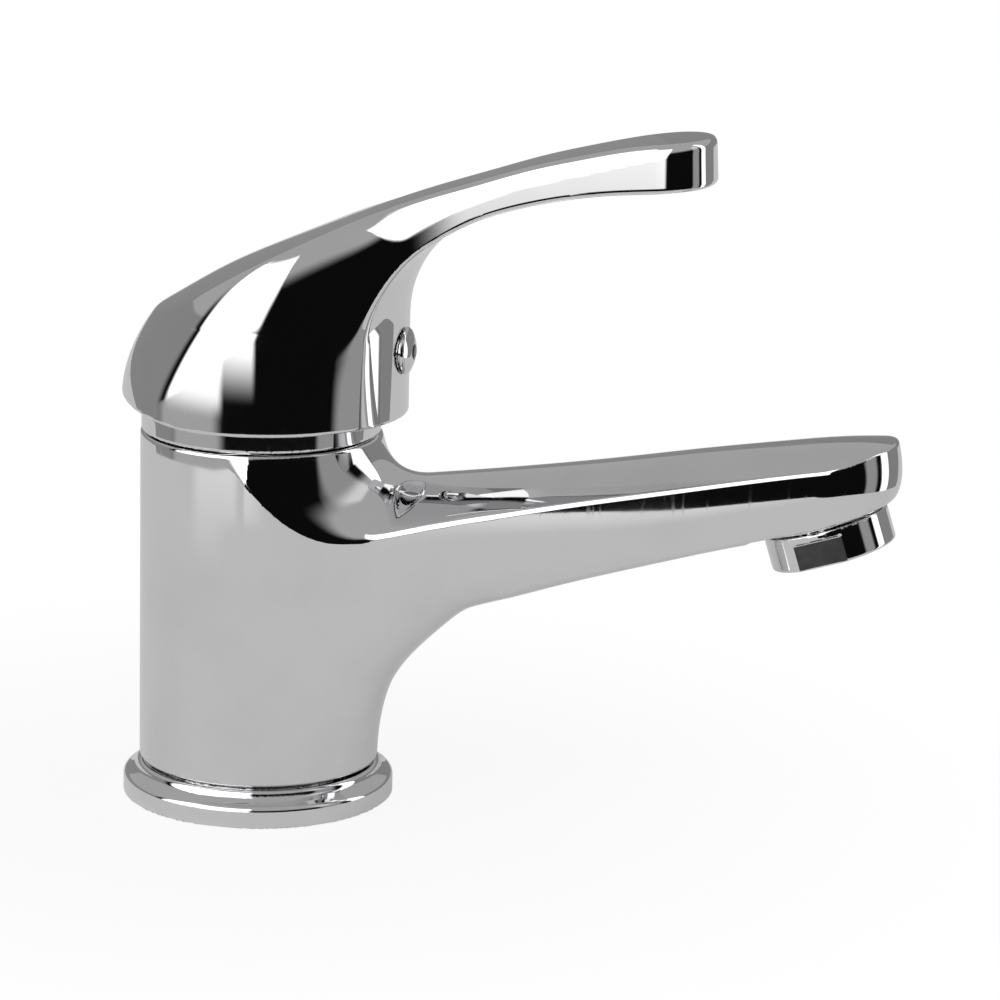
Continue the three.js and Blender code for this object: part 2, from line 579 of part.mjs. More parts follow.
/** The rotor turns in the neck; its slot lets the stem swing, and a cross bore holds the pin. */
function leverRotor() {
  const flange = HOUSING_BORE - RUNNING_GAP;
  const flangeTop = ROTOR_BOTTOM + ROTOR_FLANGE_HEIGHT;
  const shape = turned([
    [0, ROTOR_BOTTOM], [flange, ROTOR_BOTTOM], [flange, flangeTop],
    [ROTOR_RADIUS, flangeTop], [ROTOR_RADIUS, ROTOR_TOP], [0, ROTOR_TOP],
  ]);
  const swing = Math.tan(THREE.MathUtils.degToRad(LEVER_TILT));
  const half = STEM_X / 2 + 3 * GAP;
  const below = (PIVOT_HEIGHT - ROTOR_BOTTOM + 1) * swing;
  const above = (ROTOR_TOP - PIVOT_HEIGHT + 1) * swing;
  const slot = slab([
    [-half, ROTOR_BOTTOM - 1], [half + below, ROTOR_BOTTOM - 1], [half + 0.4, PIVOT_HEIGHT],
    [half, ROTOR_TOP + 1], [-half - above, ROTOR_TOP + 1], [-half - 0.4, PIVOT_HEIGHT],
  ], STEM_Y / 2 + RUNNING_GAP);
  return shape.subtract(slot).subtract(pinBar(PIN_RADIUS + GAP, ROTOR_RADIUS + 1));
}

/** A bar along Y through the pivot. */
function pinBar(radius, halfLength) {
  return solid(new THREE.CylinderGeometry(radius, radius, 2 * halfLength, 24)
    .translate(0, 0, PIVOT_HEIGHT));
}

function leverPin() {
  return pinBar(PIN_RADIUS, ROTOR_RADIUS - 0.6);
}

function leverStem() {
  const ball = solid(new THREE.SphereGeometry(STEM_BALL_RADIUS, 20, 10)
    .translate(0, 0, BALL_HEIGHT));
  const clipped = ball.intersect(block([-9, -9, CARRIER_BOTTOM + GAP], [9, 9, PIVOT_HEIGHT]));
  const neck = bar(STEM_BALL_RADIUS - 0.9, BALL_HEIGHT, PIVOT_HEIGHT - 4, 0, 0, 24);
  const shank = block([-STEM_X / 2, -STEM_Y / 2, PIVOT_HEIGHT - 6],
    [STEM_X / 2, STEM_Y / 2, PIVOT_HEIGHT + STEM_RISE]);
  return clipped.add(neck).add(shank).subtract(pinBar(PIN_RADIUS + GAP, STEM_Y));
}

/** A threaded ring with a six-sided head, grooved for the cover's O-ring. */
function cartridgeNut() {
  const bore = NECK_RADIUS + GAP;
  const top = BODY_TOP + NUT_HEAD_HEIGHT;
  const groove = COVER_RING_HEIGHT;
  const half = COVER_RING_SECTION / 2 + GAP;
  const floor = COVER_BORE - 2 * GAP - COVER_RING_SECTION - 0.6;
  return turned([
    [bore, NUT_BOTTOM], [NUT_RADIUS, NUT_BOTTOM], [NUT_RADIUS, BODY_TOP - 0.4],
    [NUT_HEAD_RADIUS, BODY_TOP], [NUT_HEAD_RADIUS, groove - half], [floor, groove - half],
    [floor, groove + half], [NUT_HEAD_RADIUS, groove + half],
    [NUT_HEAD_RADIUS, top - 0.5], [NUT_HEAD_RADIUS - 0.5, top], [bore, top],
  ]);
}

function coverRing() {
  const radius = COVER_BORE - GAP - COVER_RING_SECTION / 2;
  return roundRing(radius, COVER_RING_SECTION, COVER_RING_HEIGHT);
}

/** The polished collar between body and handle, hollow over the nut. */
function cartridgeCover() {
  const bore = NECK_RADIUS + GAP;
  const top = BODY_TOP + COVER_HEIGHT;
  const side = BODY_TOP + COVER_SIDE_HEIGHT;
  const roof = top - COVER_WALL;
  return turned([
    [COVER_BORE, BODY_TOP + GAP], [COVER_RADIUS, BODY_TOP + GAP], [COVER_RADIUS, side],
    [COVER_RADIUS - 0.6, side + 1], [bore + 2.2, top - 0.5],
    [bore + 1.2, top], [bore, top], [bore, roof], [bore + 0.9, roof],
    [COVER_BORE - 0.8, side + 0.4], [COVER_BORE, side - 0.4],
  ]);
}

// ---- handle -------------------------------------------------------------------------------

/** A body of revolution with a rounded shoulder, sheared so that its crown slopes up to +X. */
function slopingDome(radius, crown, centreX) {
  const shoulder = crown - DOME_ROUND_HEIGHT;
  const inner = radius - DOME_ROUND_WIDTH;
  const outline = [[0, HANDLE_RIM_HEIGHT - 30], [radius, HANDLE_RIM_HEIGHT - 30]];
  const steps = 8;
  for (let i = 0; i <= steps; i += 1) {
    const angle = Math.PI / 2 * i / steps;
    outline.push([
      inner + DOME_ROUND_WIDTH * Math.cos(angle), shoulder + DOME_ROUND_HEIGHT * Math.sin(angle),
    ]);
  }
  outline.push([0, crown]);
  const shear = new THREE.Matrix4().set(
    1, 0, 0, centreX,
    0, 1, 0, 0,
    DOME_SLOPE, 0, 1, 0,
    0, 0, 0, 1,
  );
  const points = outline.map(([r, z]) => new THREE.Vector2(r, z));
  return solid(new THREE.LatheGeometry(points, 48).rotateX(Math.PI / 2).applyMatrix4(shear));
}

/** Height of the lever's top, from above the back of the dome to its tip. */
function leverTopLine() {
  const rise = LEVER_RISE;
  const along = (t) => LEVER_REACH * t;
  return smooth([
    [-HANDLE_RADIUS / 2, LEVER_ROOT_TOP - 7.6], [0, LEVER_ROOT_TOP],
    [along(0.24), LEVER_ROOT_TOP + 0.33 * rise], [along(0.5), LEVER_ROOT_TOP + 0.65 * rise],
    [along(0.72), LEVER_ROOT_TOP + 0.86 * rise], [along(0.92), LEVER_ROOT_TOP + 0.98 * rise],
    [along(0.975), LEVER_TIP_TOP],
  ], 30);
}

/** Height of the lever's underside, from its tip back to inside the dome. */
function leverUnderLine() {
  const tip = LEVER_TIP_UNDER;
  const rise = tip - LEVER_ROOT_UNDER;
  const along = (t) => THREE.MathUtils.lerp(HANDLE_FRONT, LEVER_REACH, t);
  return smooth([
    [LEVER_REACH, LEVER_TIP_TOP - 3], [LEVER_REACH - 0.3, tip + 4], [LEVER_REACH - 2.4, tip + 1],
    [along(0.88), tip - 0.8], [along(0.7), tip - 0.12 * rise],
    [along(0.48), tip - 0.28 * rise], [along(0.24), tip - 0.54 * rise],
    [along(0.07), LEVER_ROOT_UNDER + 0.1 * rise],
    [HANDLE_FRONT - 4, LEVER_ROOT_UNDER - 3], [HANDLE_FRONT - 9, LEVER_ROOT_UNDER - 9],
  ], 30);
}

/** Everything above the rim, which rises behind the axis to clear the body when tilted. */
function aboveRim() {
  const points = [[HANDLE_FRONT + 1, HANDLE_RIM_HEIGHT]];
  const rimTurn = -5;
  for (let i = 0; i <= 8; i += 1) {
    const x = THREE.MathUtils.lerp(rimTurn, HANDLE_BACK - 1, i / 8);
    points.push([x, HANDLE_RIM_HEIGHT + HANDLE_RIM_LIFT * (i / 8) ** 1.6]);
  }
  const highest = LEVER_TIP_TOP + 5;
  return slab([[HANDLE_FRONT + 1, highest], [HANDLE_BACK - 1, highest], ...points.reverse()],
    HANDLE_RADIUS + 1);
}

/** Plan outline of the lever and of the flanks that run back over the dome. */
function leverPlan() {
  const tipHalf = LEVER_HALF_WIDTH + 0.4;
  const flank = smooth([
    [-HANDLE_RADIUS / 2, LEVER_HALF_WIDTH - 5], [-4, LEVER_HALF_WIDTH + 1.2],
    [8, LEVER_HALF_WIDTH + 4], [HANDLE_FRONT - 9.5, LEVER_HALF_WIDTH + 4.6],
    [HANDLE_FRONT - 2.5, LEVER_HALF_WIDTH + 2.8], [HANDLE_FRONT + 5, LEVER_HALF_WIDTH + 0.9],
    [HANDLE_FRONT + 16, LEVER_HALF_WIDTH], [LEVER_REACH - LEVER_TIP_ROUND, tipHalf],
  ], 22);
  const half = [...flank];
  for (let i = 1; i < 8; i += 1) {
    const angle = Math.PI / 2 * (1 - i / 8);
    half.push([
      LEVER_REACH - LEVER_TIP_ROUND * (1 - Math.cos(angle) ** 0.8),
      tipHalf * Math.sin(angle) ** 0.8,
    ]);
  }
  return [...half.map(([x, y]) => [x, -y]), [LEVER_REACH, 0], ...half.reverse()];
}

function handle() {
  const dome = slopingDome(HANDLE_RADIUS, DOME_CROWN, HANDLE_CENTRE_X).intersect(aboveRim());
  const lever = slab([...leverUnderLine().reverse(), ...leverTopLine().reverse()], HANDLE_RADIUS)
    .intersect(column(leverPlan(), HANDLE_RIM_HEIGHT, LEVER_TIP_TOP + 5));
  const cavity = slopingDome(HANDLE_BORE_RADIUS, DOME_CROWN - HANDLE_ROOF, HANDLE_BORE_X)
    .intersect(block([-HANDLE_RADIUS, -HANDLE_RADIUS, HANDLE_RIM_HEIGHT - 9],
      [HANDLE_RADIUS, HANDLE_RADIUS, HANDLE_CAVITY_TOP]));

  const bottom = PIVOT_HEIGHT + BOSS_RISE;
  const socketX = STEM_X / 2 + GAP;
  const socketY = STEM_Y / 2 + GAP;
  const bossFront = socketX + BOSS_FRONT_WALL;
  const boss = block([-socketX - BOSS_WALL, -socketY - BOSS_WALL + 0.5, bottom],
    [bossFront, socketY + BOSS_WALL - 0.5, HANDLE_CAVITY_TOP + 1]);
  const socket = block([-socketX, -socketY, bottom - 1],
    [socketX, socketY, HANDLE_CAVITY_TOP + GAP]);

  return dome.add(lever).subtract(cavity).add(boss).subtract(socket)
    .subtract(barAlongX(SCREW_RADIUS + GAP, STEM_X / 2, bossFront + 1, BUTTON_HEIGHT))
    .subtract(barAlongX(BUTTON_SHANK_RADIUS + GAP, bossFront + 2, HANDLE_FRONT + 1, BUTTON_HEIGHT));
}

function grubScrew() {
  const from = STEM_X / 2 + 0.4;
  const hex = barAlongX(1.25, from + SCREW_LENGTH - 3, from + SCREW_LENGTH + 1, BUTTON_HEIGHT, 6);
  return barAlongX(SCREW_RADIUS, from, from + SCREW_LENGTH, BUTTON_HEIGHT, 24).subtract(hex);
}

/** The domed button that closes the screw hole, with a recess for the dot. */
function indexPlug() {
  const face = HANDLE_FRONT + GAP;
  const steps = 5;
  const dome = [];
  for (let i = 0; i <= steps; i += 1) {
    const angle = Math.PI / 2 * i / steps;
    dome.push([BUTTON_RADIUS * Math.cos(angle), face + 0.5 + (BUTTON_DOME - 0.5) * Math.sin(angle)]);
  }
  dome[steps][0] = 0;
  const shape = turned([
    [0, face - BUTTON_SHANK_LENGTH], [BUTTON_SHANK_RADIUS, face - BUTTON_SHANK_LENGTH],
    [BUTTON_SHANK_RADIUS, face], [BUTTON_RADIUS, face], ...dome,
  ], COARSE);
  const recess = bar(DOT_RADIUS + GAP, face + BUTTON_DOME - DOT_DEPTH, face + BUTTON_DOME + 1, 0, 0, 24);
  return shape.subtract(recess);
}

function indexDot() {
  const face = HANDLE_FRONT + GAP;
  const bottom = face + BUTTON_DOME - DOT_DEPTH + GAP;
  const top = face + BUTTON_DOME;
  return turned([
    [0, bottom], [DOT_RADIUS, bottom], [DOT_RADIUS, top - 0.3],
    [DOT_RADIUS * 0.6, top - 0.06], [0, top],
  ], 24);
}

// ---- assembly -----------------------------------------------------------------------------

const faucet = new THREE.Group();

faucet.add(
  piece('base_flange', baseFlange(), CHROME),
  piece('base_gasket', baseGasket(), RUBBER),
  piece('base_oring', baseRing(), RUBBER),
  piece('body', body(), CHROME),
);

const aerator = new THREE.Group();
aerator.position.set(SPOUT_REACH, 0, OUTLET_HEIGHT);
aerator.rotation.y = -TILT;
aerator.add(
  piece('aerator_shell', aeratorShell(), CHROME),
  piece('aerator_core', aeratorCore(), ACETAL),
  piece('aerator_screen', aeratorScreen(), STEEL),
  piece('aerator_washer', aeratorWasher(), RUBBER),
);
faucet.add(aerator);

faucet.add(
  piece('cartridge_base', cartridgeBase(), ACETAL),
  piece('inlet_seal_cold', portSeal(PORTS.cold), RUBBER),
  piece('inlet_seal_hot', portSeal(PORTS.hot), RUBBER),
  piece('outlet_seal', portSeal(PORTS.outlet), RUBBER),
  piece('fixed_disc', fixedDisc(), CERAMIC),
  piece('moving_disc', movingDisc(), CERAMIC),
  piece('disc_carrier', discCarrier(), ACETAL),
  piece('cartridge_housing', cartridgeHousing(), ACETAL),
  piece('lever_rotor', leverRotor(), ACETAL),
  piece('lever_pin', leverPin(), STEEL),
  piece('lever_stem', leverStem(), BRASS),
  piece('cartridge_nut', cartridgeNut(), BRASS),
  piece('cover_oring', coverRing(), RUBBER),
  piece('cartridge_cover', cartridgeCover(), CHROME),
);

faucet.add(
  piece('handle', handle(), CHROME),
  piece('grub_screw', grubScrew(), STEEL),
);

// The button is turned round Z, then laid along +X at its height.
const button = new THREE.Group();
button.position.set(0, 0, BUTTON_HEIGHT);
button.rotation.y = Math.PI / 2;
button.add(
  piece('index_plug', indexPlug(), CHROME),
  piece('index_dot', indexDot(), DARK_ENAMEL),
);
faucet.add(button);

export default faucet;
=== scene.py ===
"""A chromed single-lever basin mixer: its looks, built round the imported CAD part.

Lengths inside a piece's section are millimetres, as a fitter would read them; a mesh is
turned into metres where it is made.  +X is the way the spout points, +Z is up, and the
deck that the mixer stands on is z = 0.
"""
import bpy
import json
import math
import numpy as np
from mathutils import Matrix, Vector


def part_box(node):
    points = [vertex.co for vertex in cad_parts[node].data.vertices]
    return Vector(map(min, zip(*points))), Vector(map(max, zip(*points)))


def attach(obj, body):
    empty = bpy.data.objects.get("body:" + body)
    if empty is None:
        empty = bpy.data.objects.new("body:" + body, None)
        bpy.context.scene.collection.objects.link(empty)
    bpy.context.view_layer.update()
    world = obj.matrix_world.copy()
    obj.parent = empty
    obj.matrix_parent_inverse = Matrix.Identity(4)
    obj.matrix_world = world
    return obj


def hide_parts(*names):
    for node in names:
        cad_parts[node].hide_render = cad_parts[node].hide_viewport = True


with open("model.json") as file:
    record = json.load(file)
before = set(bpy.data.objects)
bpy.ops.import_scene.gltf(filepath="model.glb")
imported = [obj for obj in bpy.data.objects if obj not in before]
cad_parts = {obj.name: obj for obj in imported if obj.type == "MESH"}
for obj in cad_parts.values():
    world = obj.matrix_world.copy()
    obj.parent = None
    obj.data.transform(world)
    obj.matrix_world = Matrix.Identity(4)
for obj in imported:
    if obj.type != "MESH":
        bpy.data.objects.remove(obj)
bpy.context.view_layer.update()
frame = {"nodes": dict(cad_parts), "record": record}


# ---------------------------------------------------------------------------------------
# The cast body: one brass casting, plated and mirror polished.  A plain round barrel
# stands on the base flange, and the spout grows out of it with a soft saddle above and a
# long flared root below, then runs out to a rounded tip with a tilted outlet face.
# ---------------------------------------------------------------------------------------
MM = 1000.0


def span(node):
    """Lowest and highest corner of a CAD node, in millimetres."""
    low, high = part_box(node)
    return np.array(low) * MM, np.array(high) * MM


def curve(points):
    """A height above each x: an even natural spline through the points."""
    x, z = np.array(points, float).T
    step, slope = np.diff(x), np.diff(z) / np.diff(x)
    count = len(x)
    system, right = np.eye(count), np.zeros(count)
    for i in range(1, count - 1):
        system[i, i - 1:i + 2] = step[i - 1], 2 * (step[i - 1] + step[i]), step[i]
        right[i] = 6 * (slope[i] - slope[i - 1])
    bend = np.linalg.solve(system, right)
    fine = np.linspace(x[0], x[-1], 600)
    i = np.clip(np.searchsorted(x, fine, side="right") - 1, 0, count - 2)
    t, h = fine - x[i], step[i]
    heights = (z[i] + t * (slope[i] - h * (2 * bend[i] + bend[i + 1]) / 6)
               + t ** 2 * bend[i] / 2 + t ** 3 * (bend[i + 1] - bend[i]) / (6 * h))
    return lambda at: np.interp(at, fine, heights)


def fused(a, b, reach):
    """Both solids, run together with a soft fillet that starts `reach` away from the corner."""
    near = np.clip(reach - np.abs(a - b), 0, None) / reach
    return np.minimum(a, b) - near ** 2 * reach / 4


def rounded(a, b, radius):
    """What is inside both, its edge rounded to a radius."""
    corner = np.hypot(np.clip(a + radius, 0, None), np.clip(b + radius, 0, None)) - radius
    return np.where((a > -radius) & (b > -radius), corner, np.maximum(a, b))


def without(a, hole, edge=0.4):
    """The solid a with the hole cut out of it and the hole's edge just broken."""
    return rounded(a, -hole, edge)


def ramp(value, start, end):
    """0 before start, 1 after end, and an even S between."""
    t = np.clip((value - start) / (end - start), 0, 1)
    return t * t * (3 - 2 * t)


def skin(name, solid, low, high, cell, place=None, follow=None):
    """The closed surface where solid(x, y, z) is zero, in even cells, with the true normals.

    The layers of cells rise with follow(x), so that a long edge lies along one layer.
    """
    follow = follow or (lambda x: 0 * x)
    axes = [np.arange(a - 2 * cell, b + 3 * cell, cell) for a, b in zip(low, high)]
    columns = axes[0][:, None, None]
    value = solid(columns, axes[1][None, :, None], axes[2][None, None, :] + follow(columns))
    shape = tuple(len(axis) for axis in axes)
    value = np.broadcast_to(value, shape)
    total, faces = np.zeros((4, value.size)), []
    for axis in range(3):
        first = np.take(value, range(shape[axis] - 1), axis)
        second = np.take(value, range(1, shape[axis]), axis)
        cross = np.argwhere((first < 0) != (second < 0))
        a, b = first[tuple(cross.T)], second[tuple(cross.T)]
        point = cross.astype(float)
        point[:, axis] += a / (a - b)
        u, v = (axis + 1) % 3, (axis + 2) % 3
        around = []
        for du, dv in ((-1, -1), (0, -1), (0, 0), (-1, 0)):
            moved = cross.copy()
            moved[:, u] += du
            moved[:, v] += dv
            around.append(np.ravel_multi_index(moved.T, shape))
            for k in range(3):
                total[k] += np.bincount(around[-1], point[:, k], value.size)
            total[3] += np.bincount(around[-1], minlength=value.size)
        quad = np.stack(around, 1)
        quad[a >= 0] = quad[a >= 0][:, ::-1]
        faces.append(quad)
    used, faces = np.unique(np.concatenate(faces), return_inverse=True)
    faces = faces.reshape(-1, 4)
    points = (total[:3, used] / total[3, used]).T * cell + [axis[0] for axis in axes]
    points[:, 2] += follow(points[:, 0])

    def slope(at, step):
        rise = [solid(*(at + step * unit).T) - solid(*(at - step * unit).T) for unit in np.eye(3)]
        return np.stack(rise, 1) / (2 * step)

    edges = np.concatenate([faces[:, [k, (k + 1) % 4]] for k in range(4)])
    count = np.bincount(edges[:, 0], minlength=len(points))
    smoothings, settlings = 5, 2      # then it only settles on to the true surface
    for turn in range(smoothings + settlings):
        if turn < smoothings:
            mean = np.stack([np.bincount(edges[:, 0], points[edges[:, 1], k], len(points))
                             for k in range(3)], 1) / count[:, None]
            points += 0.5 * (mean - points)
        gradient = slope(points, 0.03)
        length = np.clip((gradient ** 2).sum(1), 0.2, None)
        move = (solid(*points.T) / length)[:, None] * gradient
        points -= np.clip(move, -cell, cell)
    normals = slope(points, 0.3 * cell)
    normals /= np.linalg.norm(normals, axis=1)[:, None] + 1e-12
    if place is not None:
        turned = np.array(place.to_3x3())
        points = points @ turned.T + np.array(place.translation)
        normals = normals @ turned.T
    mesh = bpy.data.meshes.new(name)
    mesh.from_pydata((points / MM).tolist(), [], faces.tolist())
    mesh.polygons.foreach_set("use_smooth", [True] * len(mesh.polygons))
    mesh.normals_split_custom_set_from_vertices(normals.tolist())
    piece = bpy.data.objects.new(name, mesh)
    bpy.context.scene.collection.objects.link(piece)
    return piece


class Value:
    """One output of a shader node tree; adding, scaling and so on make the nodes for it."""

    def __init__(self, tree, socket):
        self.tree, self.socket = tree, socket

    def node(self, kind, settings=None, numbered=(), output=0, **named):
        """Adds a node, sets it up, feeds its sockets by number or name, and gives an output."""
        made = self.tree.nodes.new(kind)
        for key, setting in (settings or {}).items():
            setattr(made, key, setting)
        for number, value in dict(numbered).items():
            self.feed(made.inputs[number], value)
        for key, value in named.items():
            name = key.replace("_", " ")
            self.feed(next(s for s in made.inputs if s.name == name and s.enabled), value)
        return Value(self.tree, made.outputs[output] if made.outputs else None)

    def feed(self, entry, value):
        """Links a value to a socket, or sets the socket to a number or colour."""
        if isinstance(value, Value):
            self.tree.links.new(entry, value.socket)
        else:
            entry.default_value = value

    def parts(self):
        """The x, y and z of a vector."""
        split = self.node("ShaderNodeSeparateXYZ", Vector=self).socket.node
        return [Value(self.tree, output) for output in split.outputs]

    def math(self, operation, *terms):
        return self.node("ShaderNodeMath", {"operation": operation}, enumerate(terms))

    def __add__(self, other):
        return self.math("ADD", self, other)

    def __sub__(self, other):
        return self.math("SUBTRACT", self, other)

    def __rsub__(self, other):
        return self.math("SUBTRACT", other, self)

    def __mul__(self, other):
        return self.math("MULTIPLY", self, other)

    __radd__, __rmul__ = __add__, __mul__

    def band(self, start, end, soft):
        """1 between start and end, falling to 0 over `soft` at both ends."""
        return self.step(start, soft) * (1.0 - self.step(end, soft))

    def step(self, edge, soft):
        """0 below the edge, 1 above it, softened over `soft`."""
        return self.node("ShaderNodeMapRange", {"interpolation_type": "SMOOTHSTEP"}, Value=self,
                         From_Min=edge - soft / 2, From_Max=edge + soft / 2)

    def between(self, low, high):
        """A colour that goes from low to high as this goes from 0 to 1."""
        return self.node("ShaderNodeMix", {"data_type": "RGBA"},
                         {0: self, 6: (*low, 1), 7: (*high, 1)}, output=2)


def paint(name, build):
    """A material whose Principled sockets are what build(start, noise) gives by name."""
    material = bpy.data.materials.new(name)
    material.use_nodes = True
    tree = material.node_tree
    surface = tree.nodes["Principled BSDF"]
    start = Value(tree, None)      # adds nodes that nothing feeds
    place = start.node("ShaderNodeTexCoord", output=3)

    def noise(scale, detail=2.0, stretch=(1, 1, 1)):
        laid = start.node("ShaderNodeMapping", Vector=place, Scale=stretch)
        return start.node("ShaderNodeTexNoise", Vector=laid, Scale=scale, Detail=detail)

    for key, value in build(start, noise).items():
        start.feed(surface.inputs[key.replace("_", " ")], value)
    return material


def chrome_finish(start, noise):
    """Bright chrome on polished brass: a touch of haze where it is wiped, and hairlines."""
    haze = noise(45, 3).step(0.55, 0.3)
    hairlines = noise(900, 1, (1, 1, 0.05)).step(0.66, 0.1)
    return {
        "Base_Color": haze.between((0.80, 0.80, 0.81), (0.765, 0.765, 0.775)),
        "Metallic": 1.0,
        "Roughness": 0.022 + 0.02 * haze + 0.03 * hairlines,
        "Normal": start.node("ShaderNodeBump", Height=noise(60, 1), Strength=0.02, Distance=0.0004),
    }


chrome = paint("chrome_plate", chrome_finish)

body_low, body_high = span("body")
BARREL = -body_low[0]                         # a round thing's name is its radius
BARREL_TOP = span("cartridge_cover")[0][2] - 0.3
BARREL_FOOT = span("base_flange")[1][2] + 0.3
SPIGOT = BARREL - 3.3                         # the foot that stands inside the flange
SHOULDER = BARREL + 3                         # half width where the saddle meets the barrel
WELL, WELL_FLOOR = 20.3, 44                   # the cartridge's seat
NUT_THREAD, NUT_DEPTH = 21.2, 9.5
INLET_X, INLET_Y, INLET, INLET_TOP = 5, 9, 3.2, 50
HOSE_THREAD, HOSE_DEPTH = 4.5, 15
STUD_X, STUD_THREAD, STUD_DEPTH = -11, 3.4, 16
TIP = body_high[0]
HALF_WIDTH = 14.0                             # of the spout's straight part
TIP_CENTRE = TIP - HALF_WIDTH
TIP_LEAN, TIP_HEIGHT = 0.5, 75                # the tip leans in above and below this height
SPOUT_START = 8                               # the spout's solid is only ahead of this x
TILT = math.radians(18)                       # of the outlet's face
OUTLET = np.array([113.0, 0.0, 65.5])         # the middle of the outlet's face
OUTLET_OUT = np.array([math.sin(TILT), 0.0, -math.cos(TILT)])
BOSS, BOSS_HEIGHT = 12.7, 5                   # the round boss that the aerator sits on
AERATOR_THREAD, THREAD_DEPTH = 11, 7.6
SADDLE_ABOVE, SADDLE_BELOW = 6.5, 4           # fillet between barrel and spout
BARREL_EDGE, OUTLET_EDGE, SPOUT_EDGE = 0.6, 1.2, 0.4

# The spout's lines, each a height above x: its ridge, its side edge and its keel.
crown = curve([(10, 65.2), (22, 66.2), (34, 67.7), (55, 70.9), (72, 73.8), (88, 76.8), (104, 79.5),
               (115, 81.1), (122, 81.55), (130, 81.3)])
crease = curve([(-10, 78), (0, 71), (9, 64.6), (17, 60), (24, 58.1), (30, 58.8), (38, 60.8),
                (53, 64.4), (68, 67.9), (83, 71.2), (98, 74.5), (110, 77.0), (120, 78.8),
                (130, 80.2)])
keel = curve([(14, 24), (22, 29.5), (30, 35), (36, 38.4), (44, 42.3),
              (52, 45.1), (61, 48.4), (73, 52.6), (84, 56.2), (95, 59.6), (104, 62.0), (130, 68)])
# Its half width at each x, and how far forward and how wide its root is at each height.
half_width = curve([(-10, 21), (0, 20.6), (9, 19.8), (17, 18.5), (24, 17.2), (32, 15.8),
                    (44, 14.6), (56, 14), (80, 14), (130, 14)])
root_front = curve([(-6, 17.6), (4, 19.8), (12, 22.1), (20, 25.0), (28, 28.4), (34, 32.3), (39, 35.6),
                    (43, 37.2), (49, 36.4), (58, 31), (90, 12)])
root_half = curve([(-6, 14), (20, 14), (32, 14), (40, 13.2), (46, 11.4), (54, 9), (64, 7), (90, 4)])


def down_outlet(x, y, z):
    """Distance below the outlet's face, and from the outlet's axis."""
    dx, dz = x - OUTLET[0], z - OUTLET[2]
    below = dx * OUTLET_OUT[0] + dz * OUTLET_OUT[2]
    across = dx * math.cos(TILT) + dz * math.sin(TILT)
    return below, np.hypot(across, y)


def barrel_solid(radius, z):
    """The round barrel on its narrower spigot."""
    barrel = rounded(radius - BARREL, BARREL_FOOT - z, 1.1)
    barrel = np.minimum(barrel, np.maximum(radius - SPIGOT, -z))
    return rounded(barrel, z - BARREL_TOP, BARREL_EDGE)


def spout_solid(x, y, z):
    """The spout: domed above its side edge, rounded below it, and flared at its root."""
    edge_z, crown_z = crease(x), crown(x)
    width = half_width(x)
    top = z - crown_z + (crown_z - edge_z) * (y / width) ** 2
    depth = np.clip(edge_z - z, 0, None) / (edge_z - keel(x))
    lean = TIP_LEAN * ((z - TIP_HEIGHT) / 5) ** 2 * ramp(x, TIP_CENTRE, TIP - 3)
    plan = (np.hypot(np.clip(x - TIP_CENTRE, 0, None), y) + lean) / width
    plan = plan + 0.02 * np.clip(z - edge_z, -9, 0) / HALF_WIDTH * ramp(x, 30, 60)
    plan = np.clip(plan, 0, None)
    square = 2.7 + 2.0 * ramp(x, 40, 95)
    lower = ((plan ** square + depth ** square) ** (1 / square) - 1) * HALF_WIDTH
    half = root_half(z)
    nose = np.hypot(np.clip(x - root_front(z) + half, 0, None), y) - half
    climb = root_front(z + 0.5) - root_front(z - 0.5)
    lower = fused(lower, nose / np.sqrt(1 + climb ** 2), 8.0)
    below, across = down_outlet(x, y, z)
    boss = np.maximum(across - BOSS, -below - BOSS_HEIGHT)
    spout = fused(lower, boss, 1.2)
    face = below - 60 * (1 - ramp(x, 80, 101))      # only near the tip does it cut
    spout = rounded(spout, face, OUTLET_EDGE)
    spout = np.maximum(spout, np.maximum(SPOUT_START - x, BARREL_FOOT + 1 - z))
    return rounded(spout, top * 0.85, SPOUT_EDGE)


def casting(x, y, z):
    """The whole body with its well, threads and water ways cut out."""
    radius = np.hypot(x, y)
    saddle = SADDLE_BELOW + SADDLE_ABOVE * ramp(z, 30, 62)
    whole = fused(barrel_solid(radius, z), spout_solid(x, y, z), saddle)
    below, across = down_outlet(x, y, z)
    whole = without(whole, np.maximum(radius - WELL, WELL_FLOOR - z))
    whole = without(whole, np.maximum(radius - NUT_THREAD, BARREL_TOP - NUT_DEPTH - z))
    whole = without(whole, np.maximum(across - AERATOR_THREAD, -below - THREAD_DEPTH))
    for side in (-1, 1):
        inlet = np.hypot(x - INLET_X, y - INLET_Y * side)
        whole = without(whole, np.maximum(inlet - INLET, z - INLET_TOP))
        whole = without(whole, np.maximum(inlet - HOSE_THREAD, z - HOSE_DEPTH))
    stud = np.hypot(x - STUD_X, y)
    return without(whole, np.maximum(stud - STUD_THREAD, z - STUD_DEPTH))


def along_crease(x):
    """How far the spout's side edge has risen since it left the barrel."""
    return crease(np.clip(x, BARREL, TIP)) - crease(BARREL)


body = skin("mixer_casting", casting, (-BARREL, -SHOULDER, 0), (TIP, SHOULDER, BARREL_TOP), 0.55,
            follow=along_crease)
body.data.materials.append(chrome)
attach(body, "mixer_body")
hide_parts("body")


